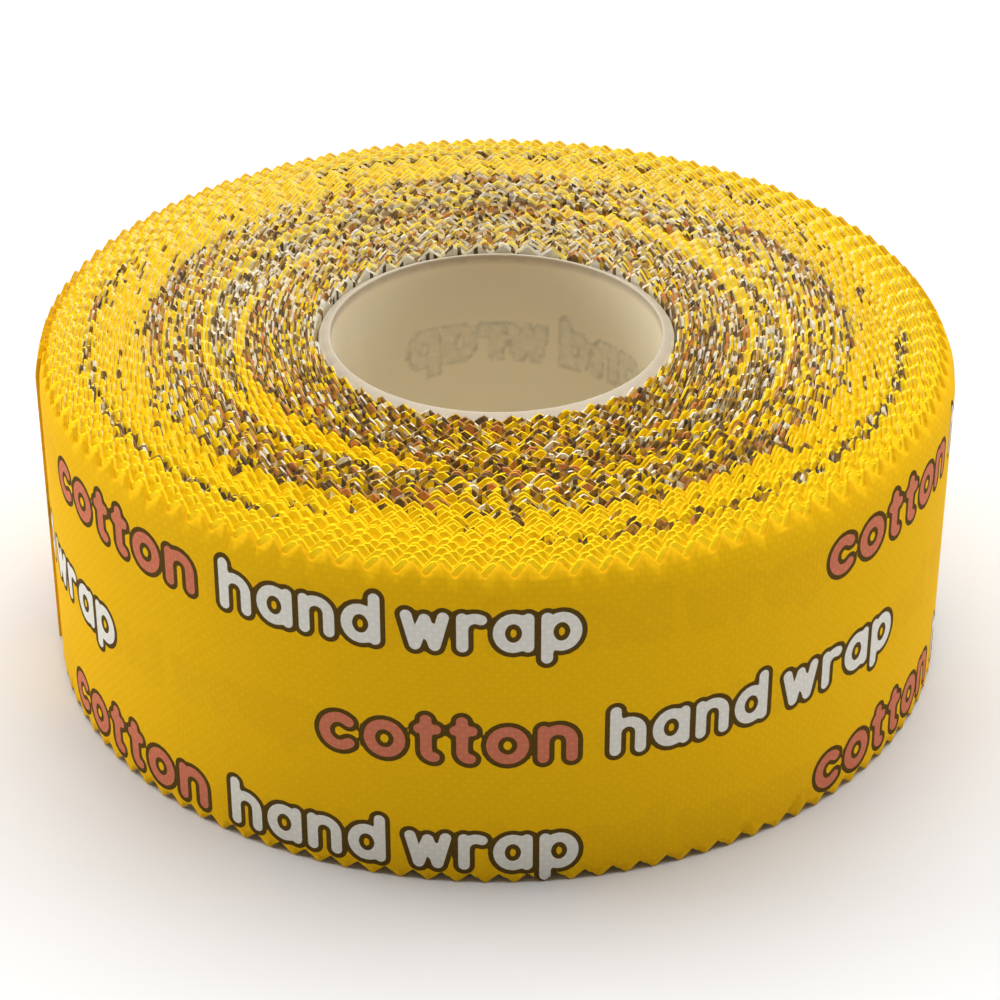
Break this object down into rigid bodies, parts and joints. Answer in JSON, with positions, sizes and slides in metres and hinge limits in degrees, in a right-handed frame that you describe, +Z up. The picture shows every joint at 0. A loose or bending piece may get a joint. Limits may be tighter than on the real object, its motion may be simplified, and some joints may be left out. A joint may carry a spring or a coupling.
{
  "type": "cotton athletic tape roll",
  "caption": "Roll of pinked-edge cotton tape with an adhesive back, wound on a thin plastic core, with a free end that peels away from the roll.",
  "frame": {"origin": "on the core's axis, in the plane the roll stands on", "axes": "+Z up along the core's axis; seen from above the strip winds anticlockwise outwards, and it ends near -X; -Y is the front"},
  "size_m": [0.0685, 0.0684, 0.0254],
  "materials": {
    "printed_cloth": "plain-woven cotton, printed, matt",
    "wound_tape": "stacked pinked edges of cotton tape, matt",
    "adhesive": "thin cream adhesive coat, slightly tacky",
    "core_plastic": "thin translucent moulded plastic, satin"
  },
  "bodies": {
    "roll": {"core": "core_plastic", "wraps_1_on_core": "wound_tape", "wraps_2_inner": "wound_tape", "wraps_3_middle": "wound_tape", "wraps_4_outer": "wound_tape", "wraps_5_under_last_turn": "wound_tape", "last_turn_cloth": "printed_cloth", "last_turn_adhesive": "adhesive"},
    "free_end_01": {"free_end_cloth_01": "printed_cloth", "free_end_adhesive_01": "adhesive"},
    "free_end_02": {"free_end_cloth_02": "printed_cloth", "free_end_adhesive_02": "adhesive"},
    "free_end_03": {"free_end_cloth_03": "printed_cloth", "free_end_adhesive_03": "adhesive"},
    "free_end_04": {"free_end_cloth_04": "printed_cloth", "free_end_adhesive_04": "adhesive"},
    "free_end_05": {"free_end_cloth_05": "printed_cloth", "free_end_adhesive_05": "adhesive"},
    "free_end_06": {"free_end_cloth_06": "printed_cloth", "free_end_adhesive_06": "adhesive"},
    "free_end_07": {"free_end_cloth_07": "printed_cloth", "free_end_adhesive_07": "adhesive"},
    "free_end_08": {"free_end_cloth_08": "printed_cloth", "free_end_adhesive_08": "adhesive"},
    "free_end_09": {"free_end_cloth_09": "printed_cloth", "free_end_adhesive_09": "adhesive"},
    "free_end_10": {"free_end_cloth_10": "printed_cloth", "free_end_adhesive_10": "adhesive"}
  },
  "joints": [
    {"name": "strip_peel", "type": "hinge", "parent": "roll", "child": "free_end_01", "pos_m": [0.00239, 0.03418, 0.0127], "axis": [0, 0, -1], "range_deg": [0, 30]},
    {"name": "strip_bend_02", "type": "hinge", "parent": "free_end_01", "child": "free_end_02", "pos_m": [-0.00358, 0.03409, 0.0127], "axis": [0, 0, -1], "range_deg": [0, 10]},
    {"name": "strip_bend_03", "type": "hinge", "parent": "free_end_02", "child": "free_end_03", "pos_m": [-0.00945, 0.03296, 0.0127], "axis": [0, 0, -1], "range_deg": [0, 10]},
    {"name": "strip_bend_04", "type": "hinge", "parent": "free_end_03", "child": "free_end_04", "pos_m": [-0.01503, 0.03082, 0.0127], "axis": [0, 0, -1], "range_deg": [0, 10]},
    {"name": "strip_bend_05", "type": "hinge", "parent": "free_end_04", "child": "free_end_05", "pos_m": [-0.02016, 0.02775, 0.0127], "axis": [0, 0, -1], "range_deg": [0, 10]},
    {"name": "strip_bend_06", "type": "hinge", "parent": "free_end_05", "child": "free_end_06", "pos_m": [-0.02468, 0.02383, 0.0127], "axis": [0, 0, -1], "range_deg": [0, 10]},
    {"name": "strip_bend_07", "type": "hinge", "parent": "free_end_06", "child": "free_end_07", "pos_m": [-0.02845, 0.01919, 0.0127], "axis": [0, 0, -1], "range_deg": [0, 10]},
    {"name": "strip_bend_08", "type": "hinge", "parent": "free_end_07", "child": "free_end_08", "pos_m": [-0.03136, 0.01396, 0.0127], "axis": [0, 0, -1], "range_deg": [0, 10]},
    {"name": "tab_lift", "type": "hinge", "parent": "free_end_08", "child": "free_end_09", "pos_m": [-0.03331, 0.00831, 0.0127], "axis": [0, 0, -1], "range_deg": [0, 35]},
    {"name": "tab_curl", "type": "hinge", "parent": "free_end_09", "child": "free_end_10", "pos_m": [-0.03426, 0.0024, 0.0127], "axis": [0, 0, -1], "range_deg": [0, 35]}
  ],
  "couplings": [
    {"joint": "strip_bend_02", "follows": "strip_peel", "ratio": 0.33333},
    {"joint": "strip_bend_03", "follows": "strip_peel", "ratio": 0.33333},
    {"joint": "strip_bend_04", "follows": "strip_peel", "ratio": 0.33333},
    {"joint": "strip_bend_05", "follows": "strip_peel", "ratio": 0.33333},
    {"joint": "strip_bend_06", "follows": "strip_peel", "ratio": 0.33333},
    {"joint": "strip_bend_07", "follows": "strip_peel", "ratio": 0.33333},
    {"joint": "strip_bend_08", "follows": "strip_peel", "ratio": 0.33333},
    {"joint": "tab_curl", "follows": "tab_lift", "ratio": 1}
  ]
}
